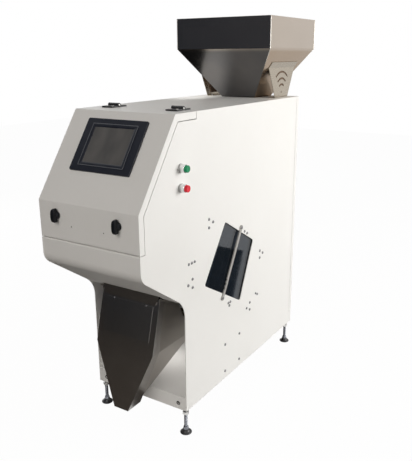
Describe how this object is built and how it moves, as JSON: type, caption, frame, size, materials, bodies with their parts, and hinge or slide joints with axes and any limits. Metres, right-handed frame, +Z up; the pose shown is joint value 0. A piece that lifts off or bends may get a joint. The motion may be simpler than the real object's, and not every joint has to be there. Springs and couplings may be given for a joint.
{
  "type": "optical colour sorter",
  "caption": "Compact white chute-type optical sorter with a stainless square feed hopper, sloping hood with touch screen, dark side window and stainless outlet spout on levelling feet.",
  "frame": {"origin": "on the floor under the middle of the machine's outline, with x 0 on the mid plane between the side panels", "axes": "+X to the right seen from the front, +Y to the back, +Z up"},
  "size_m": [0.432, 1.206, 1.392],
  "materials": {
    "white_paint": "smooth powder coat",
    "dark_paint": "matt",
    "stainless": "brushed",
    "dark_stainless": "brushed",
    "zinc": "bright zinc",
    "chrome": "polished",
    "iron": "painted",
    "aluminium": "satin",
    "black_plastic": "matt",
    "bezel_plastic": "satin",
    "grey_plastic": "matt",
    "green_plastic": "gloss",
    "red_plastic": "gloss",
    "rubber": "matt",
    "window_glass": "tinted, clear",
    "screen_glass": "dark, satin"
  },
  "bodies": {
    "machine": {"base_tray": "white_paint", "left_side_panel": "white_paint", "right_side_panel": "white_paint", "front_apron": "white_paint", "top_cover": "white_paint", "feeder_shelf": "white_paint", "chute_bars": "white_paint", "window_strap": "white_paint", "front_vision_box": "dark_paint", "rear_vision_box": "dark_paint", "electrics_plate": "dark_paint", "hopper": "stainless", "hopper_bracket_left": "stainless", "hopper_bracket_right": "stainless", "chute": "stainless", "door_hinge_fixed": "stainless", "feeder_springs": "stainless", "outlet_front": "dark_stainless", "outlet_hopper": "dark_stainless", "panel_screws": "zinc", "hood_hinge_pins": "zinc", "foot_nuts": "zinc", "button_bezels": "zinc", "feeder_base": "iron", "feeder_magnet": "iron", "box_spacers": "aluminium", "cameras": "aluminium", "lamps": "aluminium", "ejector_manifold": "aluminium", "power_supply": "aluminium", "air_filter": "aluminium", "hood_hinge_bodies": "black_plastic", "ejector_valves": "black_plastic", "control_unit": "black_plastic", "contact_blocks": "grey_plastic", "feeder_mounts": "rubber", "window_gasket": "rubber", "window_pane": "window_glass", "vision_glasses": "window_glass"},
    "hood": {"hood_shell": "white_paint", "hood_hinge_leaves": "black_plastic", "screen_bezel": "bezel_plastic", "screen_glass": "screen_glass", "screen_housing": "black_plastic", "latch_bases": "black_plastic"},
    "latch_left": {"latch_left": "black_plastic"},
    "latch_right": {"latch_right": "black_plastic"},
    "start_button": {"start_button": "green_plastic"},
    "stop_button": {"stop_button": "red_plastic"},
    "feeder_tray": {"feeder_tray": "stainless"},
    "splitter": {"splitter": "stainless"},
    "rear_door": {"rear_door": "white_paint", "door_hinge_leaves": "stainless"},
    "door_latch": {"door_latch": "black_plastic"},
    "foot_front_left": {"foot_front_left": "chrome"},
    "foot_front_right": {"foot_front_right": "chrome"},
    "foot_rear_left": {"foot_rear_left": "chrome"},
    "foot_rear_right": {"foot_rear_right": "chrome"}
  },
  "joints": [
    {"name": "hood_open", "type": "hinge", "parent": "machine", "child": "hood", "pos_m": [0, -0.2795, 1.102], "axis": [-1, 0, 0], "range_deg": [0, 75]},
    {"name": "latch_left_turn", "type": "hinge", "parent": "hood", "child": "latch_left", "pos_m": [-0.12, -0.575, 0.795], "axis": [0, 1, 0], "range_deg": [0, 90]},
    {"name": "latch_right_turn", "type": "hinge", "parent": "hood", "child": "latch_right", "pos_m": [0.12, -0.575, 0.795], "axis": [0, -1, 0], "range_deg": [0, 90]},
    {"name": "start_press", "type": "slide", "parent": "machine", "child": "start_button", "axis": [-1, 0, 0], "range_m": [0, 0.004], "stiffness_N_per_m": 800, "springref_m": -0.002},
    {"name": "stop_press", "type": "slide", "parent": "machine", "child": "stop_button", "axis": [-1, 0, 0], "range_m": [0, 0.004], "stiffness_N_per_m": 800, "springref_m": -0.002},
    {"name": "tray_vibrate", "type": "slide", "parent": "machine", "child": "feeder_tray", "axis": [0, -0.9397, 0.342], "range_m": [-0.001, 0.001], "stiffness_N_per_m": 60000, "deforming": ["feeder_springs"]},
    {"name": "splitter_tilt", "type": "hinge", "parent": "machine", "child": "splitter", "pos_m": [0, -0.171, 0.331], "axis": [1, 0, 0], "range_deg": [-10, 12]},
    {"name": "door_swing", "type": "hinge", "parent": "machine", "child": "rear_door", "pos_m": [-0.202, 0.467, 0.595], "axis": [0, 0, 1], "range_deg": [0, 110]},
    {"name": "door_latch_turn", "type": "hinge", "parent": "rear_door", "child": "door_latch", "pos_m": [0.157, 0.488, 0.595], "axis": [0, 1, 0], "range_deg": [0, 90]},
    {"name": "foot_front_left_adjust", "type": "slide", "parent": "machine", "child": "foot_front_left", "axis": [0, 0, -1], "range_m": [0, 0.02]},
    {"name": "foot_front_right_adjust", "type": "slide", "parent": "machine", "child": "foot_front_right", "axis": [0, 0, -1], "range_m": [0, 0.02]},
    {"name": "foot_rear_left_adjust", "type": "slide", "parent": "machine", "child": "foot_rear_left", "axis": [0, 0, -1], "range_m": [0, 0.02]},
    {"name": "foot_rear_right_adjust", "type": "slide", "parent": "machine", "child": "foot_rear_right", "axis": [0, 0, -1], "range_m": [0, 0.02]}
  ]
}
